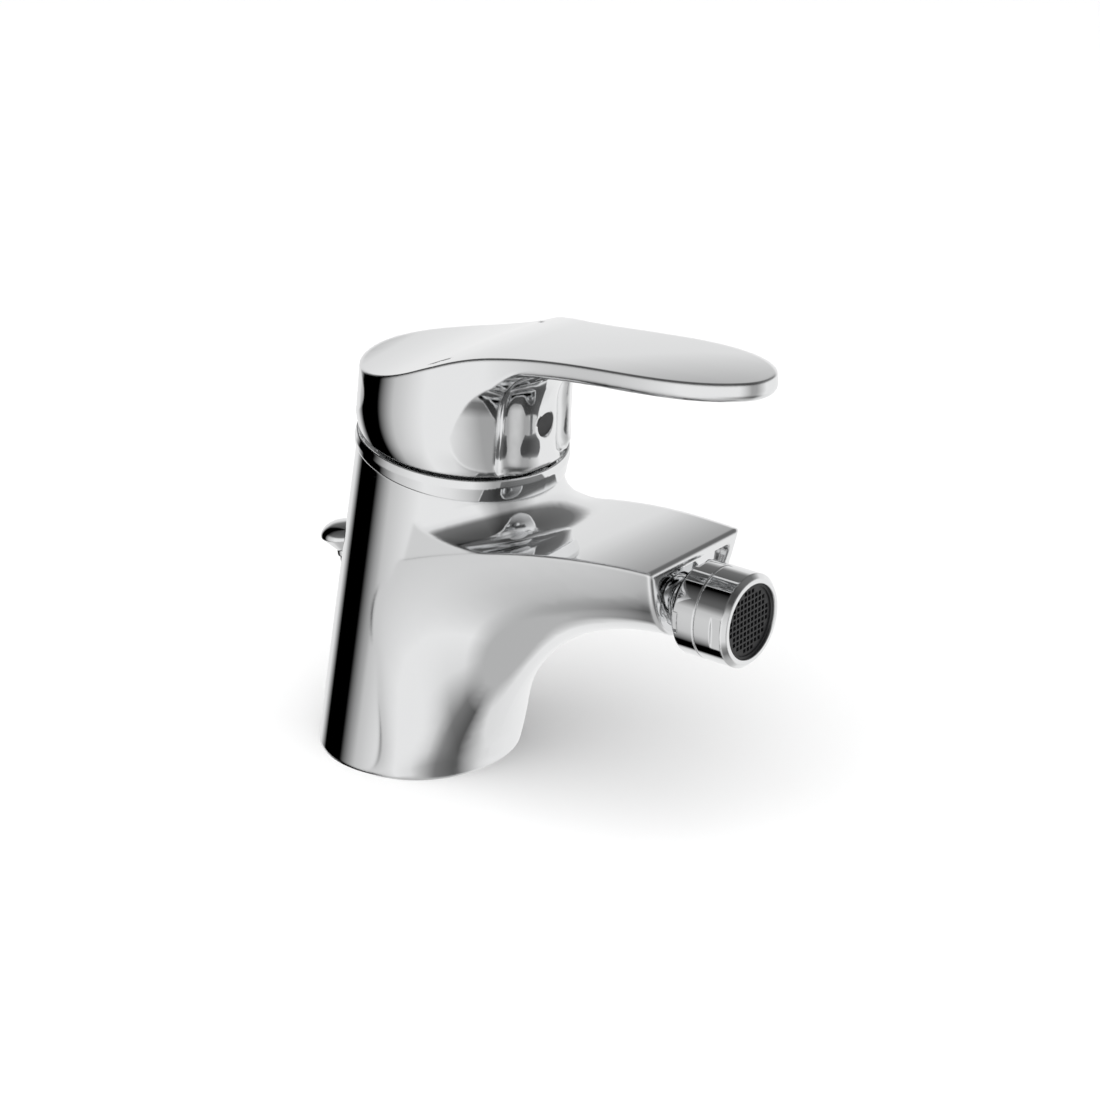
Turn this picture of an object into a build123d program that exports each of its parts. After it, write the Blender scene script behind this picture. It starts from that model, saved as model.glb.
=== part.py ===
from build123d import *
from math import atan2, cos, degrees, hypot, radians, sin, sqrt, tan
import os

# Single-lever bidet mixer with a swivelling spray nozzle and a pop-up pull rod.
# Millimetres. X points along the spout, Z up, the origin is the centre of the base on the deck.
# Driving dimensions

# barrel of the body
body_radius = 27.0
body_lean_deg = 11.0
seam_x = 18.0
seam_z = 92.4
cap_axis_deg = 7.65
overrun = 40.0
wall_inset = 0.06

# spout
front_x = 92.3
front_lean_deg = 6.5
side_taper_deg = 6.3
crease_radius = 204.0
crease_peak_x = 90.0
crease_peak_z = 78.05
arch_radius = 65.0
arch_drop = 8.0
arch_tighten = 1.5
side_draw = 2.9
cove_radius = 9.0
crease_overlap = 4.0
mid_share = 0.55
share_drift = 0.05
crease_share = 0.55
draw_growth = 1.5
fan_shares = (0, 0.23, 0.47, 0.67, 0.85, 1)
cove_z = 69.3
cove_inset = 0.3
crease_tuck = 0.8
lip_top = 2.5
lip_side = 3.4
lip_round = 1.2
pocket_floor_x = 89.8
pocket_low_z = 58.2
pocket_corner = 1.5

# inside of the body
base_bay_radius = 21.0
base_bay_height = 30.0
chamber_radius = 17.7
chamber_level = -20.0
nut_bore_radius = 20.1
nut_bore_level = -11.0
counterbore_radius = 26.15
counterbore_level = -7.2
outlet_radius = 4.0
inlet_radius = 2.6
port_radius = 4.5
port_depth = 11.0
port_x = 9.0
port_y = 9.0
stud_radius = 3.4
stud_depth = 14.0
stud_x = -4.0
seal_land_radius = 24.2
seal_section = 1.3

# cover ring
ring_top_level = -0.6
ring_top_inner = 27.15
ring_top_outer = 27.6
ring_bulge_radius = 27.95
ring_bulge_level = -2.6
ring_foot_radius = 27.3
ring_foot_level = -9.0
ring_seat_level = -5.3
ring_wedge_deg = 3.5
ring_waist_inner = 25.4
ring_waist_level = -3.9
ring_liner_level = -3.3
ring_floor_level = -5.1
ring_floor_inner = 20.5
ring_skirt_radius = 26.1

# lever handle
cap_rim_radius = 27.05
cap_bulge_radius = 28.6
cap_bulge_level = 8.0
cap_edge_radius = 27.6
cap_edge_level = 22.0
cap_wall = 1.8
cap_roof = 2.2
relief_level = 8.0
relief_low_half = 20.4
relief_high_half = 16.2
relief_reach = 12.0
top_flat_x = -7.0
top_flat_z = 112.3
top_rise_radius = 88.0
top_rise_deg = 21.3
top_bend_radius = 74.0
top_bend_deg = 7.4
top_run_radius = 520.0
top_run_deg = -2.0
top_crown_radius = 455.0
arm_root_x = 34.0
arm_start_x = 21.5
arm_shoulder_x = 32.0
arm_shoulder_half = 23.4
arm_waist_x = 45.0
arm_waist_half = 18.4
arm_mid_x = 70.0
arm_mid_half = 16.5
arm_tip_x = 98.0
arm_tip_half = 13.9
arm_nose_x = 108.6
arm_nose_half = 8.4
arm_end_x = 112.9
arm_thickness = 5.0
arm_plan_z = 124.0
arm_side_draft_deg = 6.0
arm_edge_round = 2.4
recess_face = 26.0
nose_front_y = 3.4
nose_front_u = 25.6
nose_side_u = 23.6
nose_side_y = 7.3
flute_u = 21.0
flute_y = 10.9
lip_u = 21.9
lip_y = 14.6
cheek_u = 17.5
cheek_y = 21.3
side_u = 9.0
side_y = 29.5
flare_foot = 2.6
flare_low = 0.5
flare_low_level = 5.0
flare_mid_level = 12.0
flare_start = 0.2
flare_start_level = 20.0
flare_high = 2.0
flare_high_level = 24.0
flare_wide = 8.0
flare_wide_level = 30.0
flare_top = 14.0
flare_top_level = 34.0
root_level = 17.0
root_half_level = 25.0
root_half_radius = 29.5
root_top_radius = 45.0
root_top_level = 35.0
hub_radius = 6.8
hub_level = 16.4
rotor_room_radius = 11.4
rotor_room_level = 14.6
screw_level = 11.56
screw_tilt_deg = 18.0
screw_radius = 2.0
screw_length = 8.0
screw_key_radius = 1.1
screw_key_depth = 2.5
screw_boss_radius = 3.4
plug_radius = 3.1
plug_length = 3.4
plug_recess = 0.3
mark_x = 27.8
mark_y = 19.9
mark_length = 5.2
mark_width = 0.9
mark_depth = 0.5
mark_turn_deg = 40.0

# cartridge, along its own leaning axis from the cap rim plane
pivot_level = 12.0
housing_radius = 17.5
housing_neck_radius = 15.5
housing_inner_radius = 14.0
housing_shoulder_level = -9.5
housing_roof_level = 7.5
housing_top_level = 10.0
housing_skirt_level = -17.4
base_rim_level = -11.8
base_land_level = -13.4
fixed_disc_radius = 12.8
fixed_disc_level = -9.8
moving_disc_radius = 10.8
moving_disc_level = -6.3
disc_offset = 1.6
disc_port_radius = 2.4
inlet_port_radius = 9.0
inlet_port_deg = 60.0
outlet_port_radius = 8.0
outlet_port_deg = 180.0
disc_chamber_radius = 7.8
disc_chamber_back = 3.9
carrier_radius = 11.9
carrier_low_level = -8.6
carrier_shelf_level = -3.4
carrier_top_level = 1.2
carrier_half_width = 7.0
carrier_half_length = 8.0
carrier_pocket_level = -4.8
rotor_flange_radius = 13.2
rotor_flange_low = 2.0
rotor_cheek_low = -3.2
rotor_radius = 10.4
rotor_level = 13.9
slot_back = 5.0
slot_front = 6.4
slot_half = 3.3
stem_width = 8.0
stem_depth = 6.4
stem_top_level = 21.0
stem_low_level = 8.0
leg_radius = 2.1
foot_radius = 2.9
foot_level = -1.5
pin_radius = 1.5
pin_half_length = 8.6
seal_wire = 0.9
seal_pitch = 3.9
nut_flange_radius = 22.6
nut_flange_level = -3.0
nut_hex_across = 37.0
nut_top_level = 1.4
nut_bore = 15.65
limiter_inner = 10.9
limiter_radius = 13.4
limiter_level = 11.2
running_gap = 0.1
close_gap = 0.05

# swivel nozzle, along X from the centre of its ball
ball_x = 96.6
nozzle_z = 64.0
ball_radius = 7.5
ball_front = 5.2
ball_bore = 3.0
neck_radius = 4.5
nipple_thread_radius = 5.0
nipple_thread_x = 80.0
nipple_flange_radius = 6.3
nipple_flange_length = 1.1
nipple_seal_length = 0.8
nipple_seat_x = 88.5
slip_inner_radius = 7.55
slip_outer_radius = 8.5
slip_front = 2.2
slip_back = 1.2
cavity_radius = 8.65
mouth_back = 3.1
mouth_radius = 6.95
nozzle_radius = 12.0
collar_back = 3.9
collar_back_radius = 10.6
collar_chamfer = 1.4
seam_front = 3.4
seam_chamfer = 0.2
spigot_radius = 10.3
spigot_length = 2.6
sleeve_front = 12.7
sleeve_bevel = 1.2
sleeve_bore = 9.75
sleeve_land = 8.0
sleeve_throat = 5.3
seat_front_deg = 37.0
seat_back_deg = 56.0
seat_inner_radius = 7.52
gasket_thickness = 0.8
gasket_inner = 7.8
regulator_thickness = 1.0
regulator_holes = 12
regulator_hole_radius = 0.7
regulator_hole_circle = 5.2
insert_length = 2.2
insert_rim_inner = 9.0
insert_rim_depth = 0.35
insert_pitch = 1.5
insert_cell = 1.05
insert_cell_depth = 0.9
insert_field = 8.5
flat_across = 22.6
flat_back = 8.4
flat_front = 11.3
notch_width = 5.2
notch_depth = 1.5
notch_length = 2.4
notch_count = 4

# pull rod
rod_radius = 2.0
rod_foot_x = -18.9
rod_lean_deg = 6.9
rod_low = 2.0
rod_high = 49.0
rod_hole_radius = 2.12
knob_radius = 6.5
knob_shoulder_radius = 5.7
knob_widest = 53.0
knob_top = 57.0
knob_low = 47.4
knob_neck_radius = 2.6
bush_radius = 3.2
bush_low = 8.0
bush_high = 17.0
bush_lug_radius = 5.0


# Working values and small helpers

body_tilt = radians(body_lean_deg)
cap_tilt = radians(cap_axis_deg)
taper = radians(side_taper_deg)
tangent_x = body_radius * sin(taper)
tangent_y = body_radius * cos(taper)
body_axis = (sin(body_tilt), 0, cos(body_tilt))
cap_axis = (cos(cap_tilt), 0, -sin(cap_tilt))
cap_frame = Location((seam_x, 0, seam_z), (0, cap_axis_deg, 0))
nozzle_frame = Location((ball_x, 0, nozzle_z), (0, 90, 0))
size = seam_z + overrun


def turned(*points):
    """Solid of revolution about Z through (radius, height) points."""
    outline = Polyline(*[(r, 0, z) for r, z in points], close=True)
    return revolve(make_face(outline), Axis.Z, 360)


def tube(outer, inner, low, high):
    return turned((inner, low), (outer, low), (outer, high), (inner, high))


def rod(radius, low, high):
    return Pos(0, 0, low) * Cylinder(radius, high - low, align=(Align.CENTER, Align.CENTER, Align.MIN))


def block(x0, x1, y0, y1, z0, z1):
    return Pos((x0 + x1) / 2, (y0 + y1) / 2, (z0 + z1) / 2) * Box(x1 - x0, y1 - y0, z1 - z0)


def ring_of(section, radius, z):
    """Round-section ring about Z."""
    return Pos(0, 0, z) * Torus(radius, section)


# Body casting: the leaning barrel

def lean_x(z):
    return z * tan(body_tilt)


def barrel():
    whole = Plane(origin=(0, 0, 0), z_dir=body_axis) * Cylinder(body_radius, 2 * size)
    return whole & block(-size, size, -size, size, 0, size)


def below_ring_seat(level):
    seat = cap_frame * Location((0, 0, level), (0, ring_wedge_deg, 0))
    return seat * block(-size, size, -size, size, -2 * size, 0)


# Body casting: the spout, lofted through sections that fan about a line under its tip

def crease_z(x):
    return crease_peak_z - crease_radius + sqrt(crease_radius ** 2 - (x - crease_peak_x) ** 2)


def wall_y(x, z):
    return tangent_y - wall_inset - (x - lean_x(z) - tangent_x) * tan(taper)


def fan_reach(turn):
    """Distance from the fan line to the crease, or to the barrel's tangent line."""
    low, high = arch_radius, 2 * arch_radius
    for _ in range(40):
        mid = (low + high) / 2
        x = front_x - mid * cos(turn)
        z = mid * sin(turn) - arch_drop
        if z >= crease_z(x) or x <= lean_x(z) + tangent_x:
            high = mid
        else:
            low = mid
    return high


def spout_section(turn_deg):
    turn = radians(turn_deg)
    full_share = turn_deg / 90
    reach = fan_reach(turn)
    inner = arch_radius - arch_tighten * full_share ** 2
    half = wall_y(front_x - reach * cos(turn), reach * sin(turn) - arch_drop)
    draw = side_draw * full_share ** draw_growth
    side_share = mid_share - share_drift * full_share
    nose_share = mid_share + share_drift * full_share
    depth = side_share * (reach - inner)

    def at(distance, y):
        return Vector(front_x - distance * cos(turn), y, distance * sin(turn) - arch_drop)

    on_crease = full_share > crease_share
    outer_half = half + crease_overlap * draw / depth if on_crease else half - crease_tuck
    right = [at(reach + crease_overlap, outer_half), at(reach, half), at(reach - depth, half - draw)]
    right += [at(inner, nose_share * half), at(inner, 0)]
    left = [Vector(p.X, -p.Y, p.Z) for p in right]
    edges = [Edge.make_line(right[0], right[1]), Edge.make_bezier(*right[1:])]
    edges += [Edge.make_bezier(*reversed(left[1:])), Edge.make_line(left[1], left[0])]
    edges += [Edge.make_line(left[0], right[0])]
    return Wire(edges)


def above_crease():
    back, front, top = -overrun, front_x + overrun, seam_z + overrun
    arc = ThreePointArc(
        (back, 0, crease_z(back)), (overrun, 0, crease_z(overrun)), (front, 0, crease_z(front)))
    rest = Polyline((front, 0, crease_z(front)), (front, 0, top), (back, 0, top), (back, 0, crease_z(back)))
    return extrude(make_face([arc.edge(), *rest.edges()]), 2 * body_radius, dir=(0, 1, 0), both=True)


def cove_tool():
    """Space over the spout, rounded where it meets the barrel."""
    start = lean_x(seam_z) / 2
    neck = Plane(origin=(0, 0, 0), z_dir=body_axis) * Cylinder(body_radius - wall_inset, 4 * size)
    space = (above_crease() & block(start, 2 * size, -size, size, -size, 2 * size)) - neck
    foot = [e for e in space.edges() if e.geom_type == GeomType.BSPLINE and e.length > 2 * body_radius]
    foot = sorted(foot, key=lambda e: e.center().Z)[0]
    return space.solid().fillet(cove_radius, [foot])


def spout():
    first = degrees(atan2(arch_drop - crease_tuck * 2, arch_radius))
    turns = [first + (90 - first) * share for share in fan_shares]
    horn = Solid.make_loft([spout_section(turn) for turn in turns])
    horn = horn & block(-size, size, -size, size, 0, 2 * size)
    return horn - above_crease()


def cove():
    """Rounded neck between barrel and spout."""
    start = lean_x(cove_z) + tangent_x
    near = wall_y(start, cove_z) - cove_inset
    far = wall_y(front_x, crease_z(front_x))
    plan = Polyline((start, -near), (front_x, -far), (front_x, far), (start, near), close=True)
    wedge = Pos(0, 0, seam_z / 2) * extrude(make_face(plan), seam_z / 2, dir=(0, 0, 1))
    return (wedge & above_crease()) - cove_tool()


def body_outside():
    below = below_ring_seat(ring_seat_level)
    over = block(-size, (arm_root_x + arm_mid_x) / 2, -size, size, 0, 2 * size) - below
    shape = (barrel() & below) + spout() + (cove() - over)
    front = Location((front_x, 0, crease_peak_z), (0, 0, 0)) * Location((0, 0, 0), (0, front_lean_deg, 0))
    shape = shape - front * block(0, size, -size, size, -2 * size, size)
    return fillet(shape.faces().sort_by(Axis.X)[-1].edges(), lip_round)


def spout_pocket():
    """Shallow hollow in the front of the spout, with the outline of its front inside a lip."""
    top = crease_z(front_x) - lip_top
    low = pocket_low_z
    half = wall_y(front_x, top) - lip_side
    right = Bezier((half, top), (half - side_draw, (top + low) / 2), (half / 2, low), (0, low))
    left = Bezier((0, low), (-half / 2, low), (side_draw - half, (top + low) / 2), (-half, top))
    lid = Line((-half, top), (half, top))
    plane = Plane(origin=(pocket_floor_x, 0, 0), x_dir=(0, 1, 0), z_dir=(1, 0, 0))
    hollow = extrude(plane * make_face([right.edge(), left.edge(), lid.edge()]), overrun)
    lid_ends = [edge for edge in hollow.edges() if abs(edge.center().Z - top) < close_gap]
    corners = [edge for edge in lid_ends if abs(edge.center().Y) > half / 2]
    return hollow.fillet(pocket_corner, corners)


# Body casting: inside

def rod_location():
    return Location((rod_foot_x, 0, 0), (0, -rod_lean_deg, 0))


def polar(radius, angle_deg):
    return radius * cos(radians(angle_deg)), radius * sin(radians(angle_deg))


def cartridge_ports():
    """Inlet, inlet and outlet places on the seat of the cartridge."""
    hot = polar(inlet_port_radius, inlet_port_deg)
    cold = polar(inlet_port_radius, -inlet_port_deg)
    return [hot, cold, polar(outlet_port_radius, outlet_port_deg)]


def between(start, end, radius):
    """Straight round channel between two points."""
    mouth = Wire.make_circle(radius, Plane(origin=start, z_dir=end - start))
    return Solid.extrude(Face(mouth), end - start)


def waterways():
    z_roof = base_bay_height
    cuts = []
    for side, port in zip((1, -1), cartridge_ports()):
        cuts.append(Pos(port_x, side * port_y, z_roof - running_gap) * rod(port_radius, 0, port_depth))
        foot = Vector(port_x, side * port_y, z_roof + port_depth - inlet_radius)
        head = (cap_frame * Pos(port[0], port[1], chamber_level + running_gap)).position
        cuts.append(between(foot, head, inlet_radius))
    outlet = cartridge_ports()[2]
    head = (cap_frame * Pos(outlet[0], outlet[1], chamber_level + running_gap)).position
    cuts.append(between(Vector(head.X, 0, nozzle_z), head, inlet_radius))
    seat_u = nipple_seat_x - ball_x
    brim_u = seat_u + nipple_seal_length + nipple_flange_length + running_gap
    thread_u = nipple_thread_x - ball_x - running_gap
    rear_u = head.X - outlet_radius - ball_x
    cuts.append(nozzle_frame * rod(outlet_radius, rear_u, thread_u + outlet_radius))
    cuts.append(nozzle_frame * rod(nipple_thread_radius, thread_u, seat_u + running_gap))
    cuts.append(nozzle_frame * rod(nipple_flange_radius + running_gap, seat_u, brim_u))
    cuts.append(Pos(stud_x, 0, z_roof - running_gap) * rod(stud_radius, 0, stud_depth))
    return cuts


def cartridge_room():
    lands = [(counterbore_radius, counterbore_level, 0)]
    lands.append((nut_bore_radius, nut_bore_level, counterbore_level))
    lands.append((chamber_radius, chamber_level, nut_bore_level))
    return [cap_frame * rod(radius, low, high + running_gap) for radius, low, high in lands]


def base_bay():
    bay = Plane(origin=(0, 0, 0), z_dir=body_axis) * Cylinder(base_bay_radius, 2 * size)
    bay = bay & block(-size, size, -size, size, -size, base_bay_height)
    lug = rod_location() * rod(bush_lug_radius, -overrun, bush_high + bush_lug_radius)
    lug_room = lug & block(-size, size, -size, size, -size, bush_low)
    return [bay - (lug - lug_room)]


def rod_room():
    hole = rod_location() * rod(rod_hole_radius, -overrun, cove_z)
    seat = rod_location() * rod(bush_radius, -overrun, bush_high)
    return [hole, seat]


def seal_groove():
    outer, inner = seal_land_radius + seal_section, seal_land_radius - seal_section
    return [tube(outer, inner, -running_gap, 2 * seal_section)]


def make_body():
    shape = body_outside()
    outside_cuts = base_bay() + [spout_pocket()] + rod_room() + seal_groove()
    for cut in outside_cuts + cartridge_room() + waterways():
        shape = shape - cut
    return shape


def make_base_seal():
    return ring_of(seal_section, seal_land_radius, seal_section)


# Cover ring between body and lever

def make_cover_ring():
    low = counterbore_level
    outside = turned(
        (ring_skirt_radius - running_gap, ring_top_level), (ring_top_outer, ring_top_level),
        (ring_bulge_radius, ring_bulge_level), (ring_foot_radius, ring_foot_level),
        (ring_skirt_radius - running_gap, ring_foot_level))
    ring = (cap_frame * outside) - below_ring_seat(ring_seat_level)
    liner = turned(
        (ring_top_inner, ring_top_level), (ring_top_outer, ring_top_level),
        (ring_skirt_radius, ring_liner_level), (ring_skirt_radius, low),
        (ring_floor_inner, low), (ring_floor_inner, ring_floor_level),
        (ring_waist_inner, ring_floor_level), (ring_waist_inner, ring_waist_level))
    throat = turned(
        (0, ring_waist_level), (ring_waist_inner, ring_waist_level),
        (ring_top_inner, ring_top_level), (ring_top_inner, 0), (0, 0))
    return (ring + cap_frame * liner) - cap_frame * throat


# Lever handle

def arc_step(start, slope, next_slope, radius):
    """End of an arc of the lever's top line that turns from one slope to the next."""
    run = abs(sin(radians(slope)) - sin(radians(next_slope))) * radius
    rise = abs(cos(radians(slope)) - cos(radians(next_slope))) * radius
    rise = -rise if next_slope < 0 else rise
    return Vector(start.X + run, 0, start.Z + rise)


def top_path():
    """Centre line of the lever's top: level at the back, a rise, then a long easing run."""
    start = Vector(-overrun, 0, top_flat_z)
    flat_end = Vector(top_flat_x, 0, top_flat_z)
    slopes = [0, top_rise_deg, top_bend_deg, 0, top_run_deg]
    radii = [top_rise_radius, top_bend_radius, top_run_radius, top_run_radius]
    edges = [Edge.make_line(start, flat_end)]
    point = flat_end
    for slope, next_slope, radius in zip(slopes, slopes[1:], radii):
        after = arc_step(point, slope, next_slope, radius)
        tangent = Vector(cos(radians(slope)), 0, sin(radians(slope)))
        edges.append(Edge.make_tangent_arc(point, tangent, after))
        point = after
    return Wire(edges)


def above_top():
    """Everything above the crowned top of the lever."""
    path = top_path()
    plane = Plane(origin=(-overrun, 0, top_flat_z), x_dir=(0, 1, 0), z_dir=(1, 0, 0))
    drop = top_crown_radius - sqrt(top_crown_radius ** 2 - overrun ** 2)
    crown = ThreePointArc((-overrun, -drop), (0, 0), (overrun, -drop))
    lid = Polyline((overrun, -drop), (overrun, overrun), (-overrun, overrun), (-overrun, -drop))
    face = plane * make_face([crown.edge(), *lid.edges()])
    return sweep(face, path=path)


def lever_plan(grow, z):
    """Plan outline of the whole lever: round cap, waist and blunt tip."""
    round_half = cap_edge_radius + grow
    right = Spline(
        (arm_start_x, round_half), (arm_shoulder_x, arm_shoulder_half + grow),
        (arm_waist_x, arm_waist_half + grow), (arm_mid_x, arm_mid_half + grow),
        (arm_tip_x, arm_tip_half + grow), (arm_nose_x + grow, arm_nose_half + grow / 2),
        (arm_end_x + grow, 0), tangents=((1, 0), (0, -1)))
    left = mirror(right, about=Plane.XZ)
    back = ThreePointArc(
        (arm_start_x, -round_half), (arm_start_x - round_half, 0), (arm_start_x, round_half))
    return (Pos(0, 0, z) * Wire([right.edge(), left.edge(), back.edge()]))


def lever_prism():
    """Plan outline drawn down with a little draft."""
    grow = overrun * tan(radians(arm_side_draft_deg))
    sections = [lever_plan(-grow, arm_plan_z + overrun), lever_plan(grow, arm_plan_z - overrun)]
    return Solid.make_loft(sections, ruled=True)


def cap_outside(shrink=0):
    low = -running_gap * 2 if shrink else 0
    side = Spline((cap_rim_radius - shrink, low), (cap_bulge_radius - shrink, cap_bulge_level),
                  (cap_edge_radius - shrink, cap_edge_level), (cap_rim_radius - shrink - cap_wall, overrun))
    rest = Polyline((cap_rim_radius - shrink - cap_wall, overrun), (0, overrun), (0, low),
                    (cap_rim_radius - shrink, low))
    profile = Plane.XZ * make_face([side.edge(), *rest.edges()])
    return revolve(profile, Axis.Z, 360)


def arm(top):
    """Flat handle with its lower edge rounded."""
    under = Pos(0, 0, -arm_thickness) * top
    strip = lever_prism() & block(arm_root_x, 2 * size, -size, size, 0, 2 * size) & under
    low = [edge for edge in strip.edges()
           if edge.bounding_box().max.Z < arm_plan_z and abs(edge.center().Y) > running_gap]
    return fillet(low, arm_edge_round) - top


def root():
    """Front of the cap that spreads upwards into the handle."""
    side = Spline((cap_bulge_radius, root_level), (root_half_radius, root_half_level),
                  (root_top_radius, root_top_level), tangents=((0, 1), (1, 0)))
    rest = Polyline((root_top_radius, root_top_level), (0, root_top_level), (0, root_level),
                    (cap_bulge_radius, root_level))
    spread = cap_frame * revolve(Plane.XZ * make_face([side.edge(), *rest.edges()]), Axis.Z, 360)
    return spread & cap_front() & lever_prism() & block(arm_root_x, 2 * size, -size, size, 0, 2 * size)


def cap_section(grow, level):
    """Plan of the cap at one level: round, with a nose and two upright flutes at the front."""
    side = grow / 2
    nose = [(recess_face + grow, 0), (nose_front_u + grow, nose_front_y + side / 4)]
    nose += [(nose_side_u + grow, nose_side_y + side / 2), (flute_u + grow, flute_y + side)]
    nose += [(lip_u + grow, lip_y + side)]
    wall = [nose[-1], (cheek_u + side, cheek_y + side), (side_u, side_y + grow)]
    right = [Spline(*nose, tangents=((0, 1), (1, 2))).edge(), Spline(*wall).edge()]
    left = [mirror(edge, about=Plane.XZ).edge() for edge in right]
    back = ThreePointArc(wall[-1], (-hypot(side_u, side_y) - grow, 0), (side_u, -side_y - grow))
    return Pos(0, 0, level) * Wire([*right, back.edge(), *left])


def cap_front(grow=0):
    """Front of the cap, scooped in and spreading out again at the top."""
    levels = [(flare_foot, 0), (flare_low, flare_low_level), (0, flare_mid_level)]
    levels += [(flare_start, flare_start_level), (flare_high, flare_high_level)]
    levels += [(flare_wide, flare_wide_level), (flare_top, flare_top_level)]
    return cap_frame * Solid.make_loft([cap_section(flare + grow, level) for flare, level in levels])


def screw_frame():
    """Set-screw axis: from the plug in the front of the cap, up and back to the stem."""
    return cap_frame * Location((recess_face, 0, screw_level), (0, -90 + screw_tilt_deg, 0))


def screw_reach():
    """Length along the screw's axis until its rim touches the stem."""
    tilt = radians(screw_tilt_deg)
    return (recess_face - stem_width / 2) / cos(tilt) - screw_radius * tan(tilt)


def marks():
    places = []
    for side in (1, -1):
        turn = Location((mark_x, side * mark_y, top_flat_z), (0, 0, -side * mark_turn_deg))
        places.append(turn * Box(mark_length, mark_width, overrun))
    return places


def make_lever():
    top = above_top()
    cap = (cap_frame * cap_outside()) & lever_prism()
    cap = cap & cap_front()
    whole = (cap + root() + arm(top)) - top
    roof = Pos(0, 0, -cap_roof) * top
    hollow = ((cap_frame * cap_outside(cap_wall)) & cap_front(-cap_wall)) - roof
    hollow = hollow + cap_frame * rod(cap_rim_radius - cap_wall, -running_gap, flare_low)
    hub = cap_frame * rod(hub_radius, hub_level, overrun)
    boss = screw_frame() * rod(screw_boss_radius, 0, screw_reach())
    hollow = hollow - hub - boss
    room = cap_frame * rod(rotor_room_radius, 0, rotor_room_level)
    lever = whole - hollow - room
    stem_hole = cap_frame * block(
        -stem_width / 2 - close_gap, stem_width / 2 + close_gap, -stem_depth / 2 - close_gap,
        stem_depth / 2 + close_gap, 0, stem_top_level + close_gap)
    drill = screw_frame() * rod(screw_radius, -running_gap, screw_reach() + running_gap)
    sink = screw_frame() * rod(plug_radius, -plug_radius, plug_length)
    lever = lever - stem_hole - drill - sink
    relief = Polyline((-relief_low_half, -running_gap), (relief_low_half, -running_gap),
                      (relief_high_half, relief_level), (-relief_high_half, relief_level), close=True)
    relief = Pos(-relief_reach, 0, 0) * extrude(Plane.YZ * make_face(relief), overrun, dir=(-1, 0, 0))
    lever = lever - cap_frame * relief
    skin = Pos(0, 0, -mark_depth) * top
    for mark in marks():
        lever = lever - (mark & skin)
    return lever


def make_marks():
    top = above_top()
    skin = Pos(0, 0, -mark_depth) * top
    return [(mark & skin) - top for mark in marks()]


def make_plug():
    reach = rod(plug_radius, plug_recess - plug_radius, plug_length)
    face = block(recess_face - plug_recess, size, -size, size, 0, overrun)
    return screw_frame() * reach - cap_frame * face


def make_grub_screw():
    low = screw_reach() - screw_length
    screw = rod(screw_radius, low, screw_reach()) - extrude(
        Pos(0, 0, low) * RegularPolygon(screw_key_radius, 6), screw_key_depth)
    return screw_frame() * screw


# Cartridge

def pin_bar(radius, half_length):
    """Bar across the cap axis, through the pivot of the lever."""
    return Pos(0, 0, pivot_level) * (Rot(90, 0, 0) * Cylinder(radius, 2 * half_length))


def make_stem():
    shank = block(
        -stem_width / 2, stem_width / 2, -stem_depth / 2, stem_depth / 2, stem_low_level, stem_top_level)
    leg = rod(leg_radius, foot_level, stem_low_level + running_gap)
    stem = shank + leg + Pos(0, 0, foot_level) * Sphere(foot_radius)
    return cap_frame * (stem - pin_bar(pin_radius + close_gap, stem_depth))


def make_pin():
    return cap_frame * pin_bar(pin_radius, pin_half_length)


def make_rotor():
    body = rod(rotor_radius, rotor_flange_low, rotor_level)
    body = body + rod(rotor_flange_radius, rotor_flange_low, housing_roof_level)
    cheeks = rod(rotor_flange_radius, rotor_cheek_low, rotor_flange_low + running_gap)
    half = carrier_half_width + running_gap
    cheeks = cheeks - block(-size, size, -half, half, -size, size)
    body = body + cheeks
    slot = block(-slot_back, slot_front, -slot_half, slot_half, -size, size)
    return cap_frame * (body - slot - pin_bar(pin_radius, pin_half_length))


def make_limiter():
    return cap_frame * tube(limiter_radius, limiter_inner, housing_top_level, limiter_level)


def make_housing():
    shape = turned(
        (housing_neck_radius, housing_skirt_level), (housing_radius, housing_skirt_level),
        (housing_radius, housing_shoulder_level), (housing_neck_radius, housing_shoulder_level),
        (housing_neck_radius, housing_top_level), (rotor_radius + running_gap, housing_top_level),
        (rotor_radius + running_gap, housing_roof_level + close_gap),
        (housing_inner_radius, housing_roof_level + close_gap),
        (housing_inner_radius, housing_shoulder_level),
        (housing_neck_radius, housing_shoulder_level - housing_radius + housing_neck_radius))
    return cap_frame * shape


def make_cartridge_base():
    seat = chamber_level + running_gap
    shape = rod(housing_radius, seat, housing_skirt_level)
    shape = shape + rod(housing_neck_radius - close_gap, seat, base_rim_level)
    shape = shape - rod(fixed_disc_radius, base_land_level, 0)
    for x, y in cartridge_ports():
        shape = shape - Pos(x, y, 0) * rod(disc_port_radius, -size, size)
        groove = tube(seal_pitch + seal_wire, seal_pitch - seal_wire, -seal_wire, seal_wire * 2)
        shape = shape - Pos(x, y, seat) * groove
    return cap_frame * shape


def make_port_seals():
    ring = Pos(0, 0, chamber_level + seal_wire) * Torus(seal_pitch, seal_wire)
    return [cap_frame * Pos(x, y, 0) * ring for x, y in cartridge_ports()]


def make_fixed_disc():
    disc = rod(fixed_disc_radius, base_land_level, fixed_disc_level)
    for x, y in cartridge_ports():
        disc = disc - Pos(x, y, 0) * rod(disc_port_radius, -size, size)
    return cap_frame * disc


def make_moving_disc():
    disc = rod(moving_disc_radius, fixed_disc_level, moving_disc_level)
    half_way = (fixed_disc_level + moving_disc_level) / 2
    chamber = rod(disc_chamber_radius, fixed_disc_level - running_gap, half_way)
    return cap_frame * (Pos(-disc_offset, 0, 0) * disc - Pos(-disc_chamber_back, 0, 0) * chamber)


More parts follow.
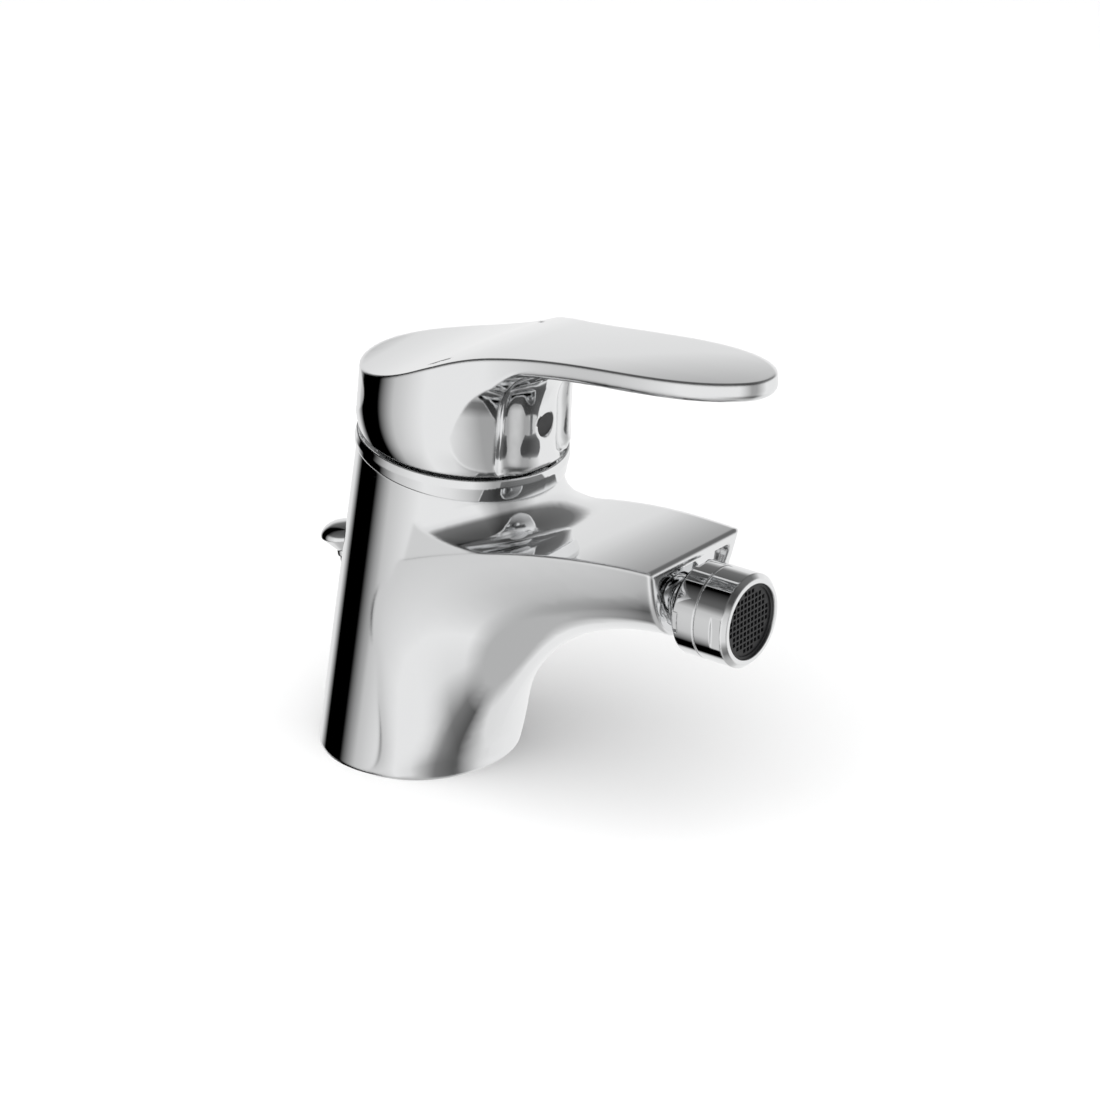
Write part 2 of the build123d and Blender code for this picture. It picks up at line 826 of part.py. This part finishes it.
def make_carrier():
    low = rod(carrier_radius, carrier_low_level, carrier_shelf_level)
    low = low - rod(moving_disc_radius, carrier_low_level - running_gap, moving_disc_level)
    rail = block(-carrier_half_length, carrier_half_length, -carrier_half_width, carrier_half_width,
                 carrier_shelf_level - running_gap, carrier_top_level)
    shape = Pos(-disc_offset, 0, 0) * (low + rail)
    half = foot_radius + close_gap
    return cap_frame * (shape - block(-half, half, -half, half, carrier_pocket_level, overrun))


def make_nut():
    shape = rod(nut_bore_radius - close_gap * 2, housing_shoulder_level, ring_floor_level)
    shape = shape + rod(nut_flange_radius, ring_floor_level, nut_flange_level)
    across = RegularPolygon(nut_hex_across / 2, 6, major_radius=False)
    hexagon = extrude(across, nut_top_level - nut_flange_level)
    shape = shape + Pos(0, 0, nut_flange_level) * hexagon
    return cap_frame * (shape - rod(nut_bore, -size, size))


# Swivel nozzle

def shell(inner, outer, back, front):
    """Band of a hollow ball about the nozzle axis."""
    ball = Sphere(outer) if inner == 0 else Sphere(outer) - Sphere(inner)
    return ball & block(-overrun, overrun, -overrun, overrun, back, front)


def make_nipple():
    floor_u = nipple_seat_x - ball_x + nipple_seal_length
    ball = shell(0, ball_radius, -ball_radius, ball_front)
    neck = rod(neck_radius, floor_u, 0)
    flange = rod(nipple_flange_radius, floor_u, floor_u + nipple_flange_length)
    thread = rod(nipple_thread_radius, nipple_thread_x - ball_x, floor_u + running_gap)
    bore = rod(ball_bore, -overrun, overrun)
    return nozzle_frame * (ball + neck + flange + thread - bore)


def make_nipple_seal():
    low = nipple_seat_x - ball_x
    return nozzle_frame * tube(nipple_flange_radius, nipple_thread_radius, low, low + nipple_seal_length)


def make_slip_ring():
    return nozzle_frame * shell(slip_inner_radius, slip_outer_radius, -slip_back, slip_front)


def make_collar():
    split = seam_front - spigot_length
    outside = turned(
        (0, -collar_back), (collar_back_radius, -collar_back),
        (nozzle_radius, -collar_back + collar_chamfer), (nozzle_radius, seam_front - seam_chamfer),
        (nozzle_radius - seam_chamfer, seam_front), (0, seam_front))
    hollow = shell(0, cavity_radius, -mouth_back, overrun) + rod(mouth_radius, -overrun, 0)
    shape = outside - hollow - rod(spigot_radius, split, overrun)
    for index in range(notch_count):
        cut = block(nozzle_radius - notch_depth, overrun, -notch_width / 2, notch_width / 2,
                    -collar_back - running_gap, -collar_back + notch_length)
        shape = shape - Rot(0, 0, index * 360 / notch_count) * cut
    return nozzle_frame * shape


def make_sleeve():
    split = seam_front - spigot_length
    outside = turned(
        (0, split), (spigot_radius, split), (spigot_radius, seam_front),
        (nozzle_radius - seam_chamfer, seam_front),
        (nozzle_radius, seam_front + seam_chamfer), (nozzle_radius, sleeve_front - sleeve_bevel),
        (nozzle_radius - sleeve_bevel, sleeve_front), (0, sleeve_front))
    shape = outside - Sphere(cavity_radius) - rod(sleeve_throat, 0, overrun)
    shape = shape - rod(sleeve_bore, sleeve_land, overrun)
    half = flat_across / 2
    for side in (1, -1):
        cut = block(-overrun, overrun, half, overrun, flat_back, flat_front)
        shape = shape - Rot(0, 0, side * 90 - 90) * cut
    return nozzle_frame * shape


def make_nozzle_seal():
    low = cavity_radius * cos(radians(seat_back_deg))
    high = cavity_radius * cos(radians(seat_front_deg))
    seal = shell(seat_inner_radius, cavity_radius, low, high)
    return nozzle_frame * (seal - rod(sleeve_throat - close_gap * 4, 0, overrun))


def make_aerator_gasket():
    high = sleeve_land + gasket_thickness
    return nozzle_frame * tube(sleeve_bore - close_gap, gasket_inner, sleeve_land, high)


def make_regulator():
    low = sleeve_land + gasket_thickness
    disc = rod(sleeve_bore - close_gap, low, low + regulator_thickness)
    for index in range(regulator_holes):
        x, y = polar(regulator_hole_circle, index * 360 / regulator_holes)
        disc = disc - Pos(x, y, 0) * rod(regulator_hole_radius, 0, overrun)
    return nozzle_frame * disc


def make_insert():
    low = sleeve_land + gasket_thickness + regulator_thickness
    top = low + insert_length
    body = rod(sleeve_bore - close_gap, low, top) - rod(insert_rim_inner, top - insert_rim_depth, overrun)
    floor = top - insert_rim_depth
    cells = []
    steps = int(insert_field / insert_pitch)
    for row in range(-steps, steps + 1):
        for column in range(-steps, steps + 1):
            x, y = row * insert_pitch, column * insert_pitch
            if hypot(x, y) + insert_cell / 2 < insert_field:
                cells.append(Pos(x, y, floor) * Box(insert_cell, insert_cell, 2 * insert_cell_depth))
    return nozzle_frame * (body - cells)


# Pull rod

def make_pull_rod():
    return rod_location() * rod(rod_radius, rod_low, rod_high)


def make_pull_knob():
    """Mushroom knob, drawn as a dome over a cone that runs down to the rod."""
    shoulder = knob_widest + (knob_top - knob_widest) / 2
    dome = Spline((knob_radius, knob_widest), (knob_shoulder_radius, shoulder), (0, knob_top),
                  tangents=((0, 1), (-1, 0)))
    rest = Polyline((0, knob_top), (0, rod_high), (rod_radius, rod_high), (rod_radius, knob_low),
                    (knob_neck_radius, knob_low), (knob_neck_radius, rod_high), (knob_radius, knob_widest))
    return rod_location() * revolve(Plane.XZ * make_face([dome.edge(), *rest.edges()]), Axis.Z, 360)


def make_rod_bush():
    return rod_location() * tube(bush_radius, rod_radius + close_gap, bush_low, bush_high)


# Build and write every piece

PIECES = {
    "body_casting": make_body,
    "base_seal": make_base_seal,
    "cover_ring": make_cover_ring,
    "lever_handle": make_lever,
    "temperature_marks": make_marks,
    "screw_plug": make_plug,
    "grub_screw": make_grub_screw,
    "lever_stem": make_stem,
    "stem_pin": make_pin,
    "cartridge_rotor": make_rotor,
    "limiter_ring": make_limiter,
    "cartridge_housing": make_housing,
    "cartridge_base": make_cartridge_base,
    "port_seals": make_port_seals,
    "fixed_disc": make_fixed_disc,
    "moving_disc": make_moving_disc,
    "disc_carrier": make_carrier,
    "clamp_nut": make_nut,
    "ball_nipple": make_nipple,
    "nipple_seal": make_nipple_seal,
    "slip_ring": make_slip_ring,
    "nozzle_collar": make_collar,
    "aerator_sleeve": make_sleeve,
    "nozzle_seal": make_nozzle_seal,
    "aerator_gasket": make_aerator_gasket,
    "flow_regulator": make_regulator,
    "aerator_insert": make_insert,
    "pull_rod": make_pull_rod,
    "pull_knob": make_pull_knob,
    "rod_bush": make_rod_bush,
}


def solids_of(made):
    made = made if isinstance(made, list) else [made]
    return [solid for shape in made for solid in shape.solids()]


if __name__ == "__main__":
    os.makedirs("parts", exist_ok=True)
    for name, make in PIECES.items():
        solids = solids_of(make())
        shape = solids[0] if len(solids) == 1 else Compound(children=solids)
        export_step(shape, f"parts/{name}.step")
        print(name, len(solids), shape.is_valid, round(shape.volume))
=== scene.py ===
from math import atan2

import bpy
from mathutils import Matrix, Vector

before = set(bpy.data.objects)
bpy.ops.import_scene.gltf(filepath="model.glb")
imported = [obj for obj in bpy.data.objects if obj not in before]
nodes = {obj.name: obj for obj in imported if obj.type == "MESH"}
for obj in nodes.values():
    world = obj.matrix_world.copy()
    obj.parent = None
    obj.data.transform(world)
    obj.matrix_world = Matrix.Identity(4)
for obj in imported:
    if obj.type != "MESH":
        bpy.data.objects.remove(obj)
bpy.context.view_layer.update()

# Camera, at the photograph's place and angle

CAMERA_AT = (0.4519, -0.5062, 0.3390)
CAMERA_RIGHT = (0.78109, 0.62441, -0.00233)
CAMERA_UP = (-0.24012, 0.30381, 0.92198)
CAMERA_BACK = (0.57640, -0.71959, 0.38724)
SENSOR = 36.0
LENS = 90.05


def make_camera():
    data = bpy.data.cameras.new("camera")
    data.sensor_width = SENSOR
    data.lens = LENS
    data.clip_start = 0.01
    data.clip_end = 20.0
    camera = bpy.data.objects.new("camera", data)
    turn = Matrix((CAMERA_RIGHT, CAMERA_UP, CAMERA_BACK)).transposed().to_4x4()
    camera.matrix_world = Matrix.Translation(CAMERA_AT) @ turn
    bpy.context.scene.collection.objects.link(camera)
    bpy.context.scene.camera = camera


# Materials

def new_material(name):
    material = bpy.data.materials.new(name)
    material.use_nodes = True
    tree = material.node_tree
    return material, tree, tree.nodes["Principled BSDF"]


def noise(tree, scale, detail=2.0):
    where = tree.nodes.new("ShaderNodeTexCoord")
    texture = tree.nodes.new("ShaderNodeTexNoise")
    texture.inputs["Scale"].default_value = scale
    texture.inputs["Detail"].default_value = detail
    tree.links.new(where.outputs["Object"], texture.inputs["Vector"])
    return texture.outputs["Fac"]


def spread(tree, value, low, high):
    ranged = tree.nodes.new("ShaderNodeMapRange")
    ranged.inputs["To Min"].default_value = low
    ranged.inputs["To Max"].default_value = high
    tree.links.new(value, ranged.inputs["Value"])
    return ranged.outputs["Result"]


def bump(tree, shader, value, strength, distance):
    node = tree.nodes.new("ShaderNodeBump")
    node.inputs["Strength"].default_value = strength
    node.inputs["Distance"].default_value = distance
    tree.links.new(value, node.inputs["Height"])
    tree.links.new(node.outputs["Normal"], shader.inputs["Normal"])


def metal(name, colour, rough_low, rough_high, grain=900.0, edge=0.0):
    material, tree, shader = new_material(name)
    shader.inputs["Base Color"].default_value = (*colour, 1.0)
    shader.inputs["Metallic"].default_value = 1.0
    tree.links.new(spread(tree, noise(tree, grain), rough_low, rough_high), shader.inputs["Roughness"])
    if edge:
        soft_edge = tree.nodes.new("ShaderNodeBevel")
        soft_edge.samples = 8
        soft_edge.inputs["Radius"].default_value = edge
        tree.links.new(soft_edge.outputs["Normal"], shader.inputs["Normal"])
    return material


def moulded(name, colour, rough_low, rough_high, grain=700.0, relief=0.05):
    material, tree, shader = new_material(name)
    shader.inputs["Base Color"].default_value = (*colour, 1.0)
    value = noise(tree, grain, 4.0)
    tree.links.new(spread(tree, value, rough_low, rough_high), shader.inputs["Roughness"])
    bump(tree, shader, value, relief, 0.0001)
    return material


CHROME_COLOUR = (0.86, 0.865, 0.87)
TURNED_EDGE = 0.0006
CAST_EDGE = 0.0014

CHROME = metal("chrome", CHROME_COLOUR, 0.02, 0.045, edge=TURNED_EDGE)
CAST_CHROME = metal("cast_chrome", CHROME_COLOUR, 0.02, 0.045, edge=CAST_EDGE)
STEEL = metal("steel", (0.56, 0.57, 0.58), 0.22, 0.32)
BRASS = metal("brass", (0.72, 0.55, 0.28), 0.25, 0.35)
RUBBER = moulded("rubber", (0.02, 0.02, 0.02), 0.6, 0.8)
BLACK = moulded("black_plastic", (0.018, 0.018, 0.019), 0.35, 0.5)
INSERT = moulded("insert_plastic", (0.012, 0.012, 0.013), 0.4, 0.55)
DARK = moulded("dark_plastic", (0.10, 0.11, 0.12), 0.4, 0.5)
PALE = moulded("pale_plastic", (0.72, 0.72, 0.70), 0.4, 0.5)
RED = moulded("red_plastic", (0.55, 0.05, 0.04), 0.4, 0.5)
CERAMIC = moulded("ceramic", (0.85, 0.84, 0.81), 0.12, 0.18, relief=0.0)
MARK = moulded("mark_enamel", (0.10, 0.10, 0.105), 0.3, 0.4)

FINISHES = {
    CHROME: ["cover_ring", "nozzle_collar", "aerator_sleeve", "ball_nipple", "pull_rod", "pull_knob"],
    CAST_CHROME: ["body_casting", "lever_handle"],
    STEEL: ["grub_screw", "stem_pin", "clamp_nut"],
    BRASS: ["lever_stem"],
    RUBBER: ["base_seal", "port_seals", "nipple_seal", "nozzle_seal", "aerator_gasket"],
    BLACK: ["screw_plug", "slip_ring", "rod_bush"],
    INSERT: ["aerator_insert"],
    DARK: ["cartridge_base", "disc_carrier", "flow_regulator"],
    PALE: ["cartridge_rotor", "cartridge_housing"],
    RED: ["limiter_ring"],
    CERAMIC: ["fixed_disc", "moving_disc"],
    MARK: ["temperature_marks"],
}


def dress_nodes():
    for material, names in FINISHES.items():
        for name in names:
            mesh = nodes[name].data
            mesh.materials.clear()
            mesh.materials.append(material)


# Floor and lamps, which the chrome doesn't mirror

FLOOR_SIZE = 8.0
FLOOR_WHITE = 0.95
KEY_AT = (0.3, -0.6, 1.4)
KEY_TARGET = (0.04, 0.0, 0.06)
KEY_SIZE = (1.4, 1.4)
KEY_POWER = 8.0
FILL_LEAN = (0.35, 0.2, 0.0)
FILL_POWER = 2.7
FILL_ANGLE = 1.6


def make_floor():
    bpy.ops.mesh.primitive_plane_add(size=FLOOR_SIZE, location=(0.0, 0.0, 0.0))
    floor = bpy.context.object
    floor.name = "floor"
    material, tree, shader = new_material("floor_white")
    shader.inputs["Base Color"].default_value = (FLOOR_WHITE, FLOOR_WHITE, FLOOR_WHITE, 1.0)
    shader.inputs["Roughness"].default_value = 0.9
    shader.inputs["Specular IOR Level"].default_value = 0.0
    floor.data.materials.append(material)
    floor.visible_glossy = False


def area(name, at, target, size, power):
    data = bpy.data.lights.new(name, "AREA")
    data.shape = "RECTANGLE"
    data.size, data.size_y = size
    data.energy = power
    lamp = bpy.data.objects.new(name, data)
    lamp.location = at
    lamp.rotation_euler = (Vector(target) - Vector(at)).to_track_quat("-Z", "Y").to_euler()
    lamp.visible_glossy = False
    bpy.context.scene.collection.objects.link(lamp)


def sun(name, lean, power, spread_angle):
    data = bpy.data.lights.new(name, "SUN")
    data.energy = power
    data.angle = spread_angle
    lamp = bpy.data.objects.new(name, data)
    lamp.rotation_euler = lean
    lamp.visible_glossy = False
    bpy.context.scene.collection.objects.link(lamp)


# The studio that the chrome mirrors: white walls, a black panel behind the mixer on its left and a grey one
# at its right, a darker one below that, grey underfoot and a dark ceiling. The first two tables hold
# (bearing in degrees, grey), the last (sine of the elevation, share of the walls' grey). Bearings run
# clockwise from the camera as the mixer sees them, so negative ones lie on its left.

WALLS = (
    (-180, 0.9), (-150, 0.8), (-134, 0.0), (-102, 0.0), (-80, 0.6), (-45, 0.9), (12, 0.9), (35, 0.4), (50, 0.4),
    (85, 0.9), (180, 0.9),
)
LOW_WALLS = (
    (-180, 0.9), (-150, 0.8), (-134, 0.0), (-102, 0.0), (-80, 0.5), (-45, 0.9), (-15, 0.8), (30, 0.2), (60, 0.1),
    (100, 0.8), (180, 0.9),
)
CEILING = ((0.0, 1.0), (0.25, 0.9), (0.4, 0.4), (0.5, 0.2), (1.0, 0.1))
UNDERFOOT = 0.5
FULL_TURN = 360.0
LOW_FROM, LOW_TO = -0.57, -0.75
UNDERFOOT_FROM, UNDERFOOT_TO = -0.86, -0.95


def ramp(tree, value, stops, low, high):
    node = tree.nodes.new("ShaderNodeValToRGB")
    marks = node.color_ramp.elements
    while len(marks) < len(stops):
        marks.new(0.5)
    for mark, (place, grey) in zip(marks, stops):
        mark.position = (place - low) / (high - low)
        mark.color = (grey, grey, grey, 1.0)
    tree.links.new(value, node.inputs["Fac"])
    return node.outputs["Color"]


def between(tree, value, start, end):
    ranged = tree.nodes.new("ShaderNodeMapRange")
    ranged.inputs["From Min"].default_value = start
    ranged.inputs["From Max"].default_value = end
    tree.links.new(value, ranged.inputs["Value"])
    return ranged.outputs["Result"]


def blend(tree, kind, share, first, second):
    node = tree.nodes.new("ShaderNodeMix")
    node.data_type = "RGBA"
    node.blend_type = kind
    for socket, value in ((node.inputs[0], share), (node.inputs[6], first), (node.inputs[7], second)):
        if isinstance(value, (float, tuple)):
            socket.default_value = value
        else:
            tree.links.new(value, socket)
    return node.outputs[2]


def make_studio():
    world = bpy.data.worlds.new("studio")
    bpy.context.scene.world = world
    world.use_nodes = True
    tree = world.node_tree
    where = tree.nodes.new("ShaderNodeTexCoord")
    turn = tree.nodes.new("ShaderNodeMapping")
    turn.vector_type = "POINT"
    turn.inputs["Rotation"].default_value = (0.0, 0.0, -atan2(CAMERA_BACK[1], CAMERA_BACK[0]))
    bearing = tree.nodes.new("ShaderNodeTexGradient")
    bearing.gradient_type = "RADIAL"
    apart = tree.nodes.new("ShaderNodeSeparateXYZ")
    tree.links.new(where.outputs["Generated"], turn.inputs["Vector"])
    tree.links.new(turn.outputs["Vector"], bearing.inputs["Vector"])
    tree.links.new(where.outputs["Generated"], apart.inputs["Vector"])
    around, height = bearing.outputs["Fac"], apart.outputs["Z"]
    sides = ramp(tree, around, WALLS, -FULL_TURN / 2, FULL_TURN / 2)
    low = ramp(tree, around, LOW_WALLS, -FULL_TURN / 2, FULL_TURN / 2)
    lower = blend(tree, "MIX", between(tree, height, LOW_FROM, LOW_TO), sides, low)
    underfoot = (UNDERFOOT, UNDERFOOT, UNDERFOOT, 1.0)
    grounded = blend(tree, "MIX", between(tree, height, UNDERFOOT_FROM, UNDERFOOT_TO), lower, underfoot)
    whole = blend(tree, "MULTIPLY", 1.0, grounded, ramp(tree, height, CEILING, 0.0, 1.0))
    tree.links.new(whole, tree.nodes["Background"].inputs["Color"])


make_camera()
dress_nodes()
make_floor()
make_studio()
area("key", KEY_AT, KEY_TARGET, KEY_SIZE, KEY_POWER)
sun("fill", FILL_LEAN, FILL_POWER, FILL_ANGLE)
bpy.context.scene.view_settings.view_transform = "Standard"
